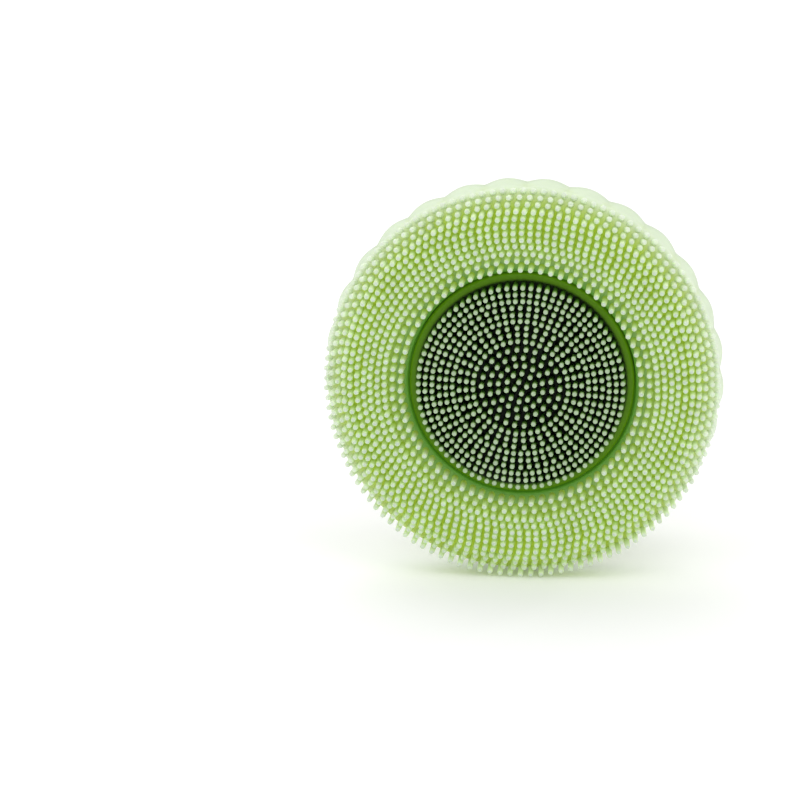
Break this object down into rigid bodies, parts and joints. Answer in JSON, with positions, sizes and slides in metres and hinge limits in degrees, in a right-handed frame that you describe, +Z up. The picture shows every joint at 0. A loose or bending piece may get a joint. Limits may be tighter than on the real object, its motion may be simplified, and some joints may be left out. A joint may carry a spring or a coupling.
{
  "type": "facial cleansing brush",
  "caption": "Round manual facial cleansing brush: scalloped silicone bristle ring, separate bristle pad in its middle, and a mushroom knob handle behind.",
  "frame": {"origin": "middle of the brush's underside, on the surface that it stands on when it stands on its rim", "axes": "+Y along the brush's axis from the bristle tips towards the knob, +Z up, +X to the right seen from the bristle side"},
  "size_m": [0.0804, 0.05, 0.0803],
  "materials": {
    "silicone_light": "matte pale green silicone, slightly translucent",
    "bristle_light": "translucent pale green silicone bristles",
    "silicone_dark": "satin deep green silicone",
    "bristle_dark": "satin silicone bristles, pale at the tips over a near-black green floor",
    "plastic_dark": "glossy deep green moulded plastic",
    "plastic_inner": "plain moulded plastic, hidden",
    "plastic_light": "glossy moulded plastic",
    "steel": "plain steel screws"
  },
  "bodies": {
    "handle": {"hub": "plastic_dark", "front_plate": "plastic_inner", "knob_base": "plastic_light", "knob_cap": "plastic_light", "knob_screw": "steel", "plate_screw_1": "steel", "plate_screw_2": "steel", "plate_screw_3": "steel"},
    "ring": {"outer_ring": "silicone_light", "outer_bristles": "bristle_light"},
    "pad": {"inner_pad": "silicone_dark", "inner_bristles": "bristle_dark"}
  },
  "joints": [
    {"name": "ring_pull_off", "type": "slide", "parent": "handle", "child": "ring", "axis": [0, 1, 0], "range_m": [0, 0.055]},
    {"name": "pad_pull_out", "type": "slide", "parent": "handle", "child": "pad", "axis": [0, -1, 0], "range_m": [0, 0.01]}
  ]
}
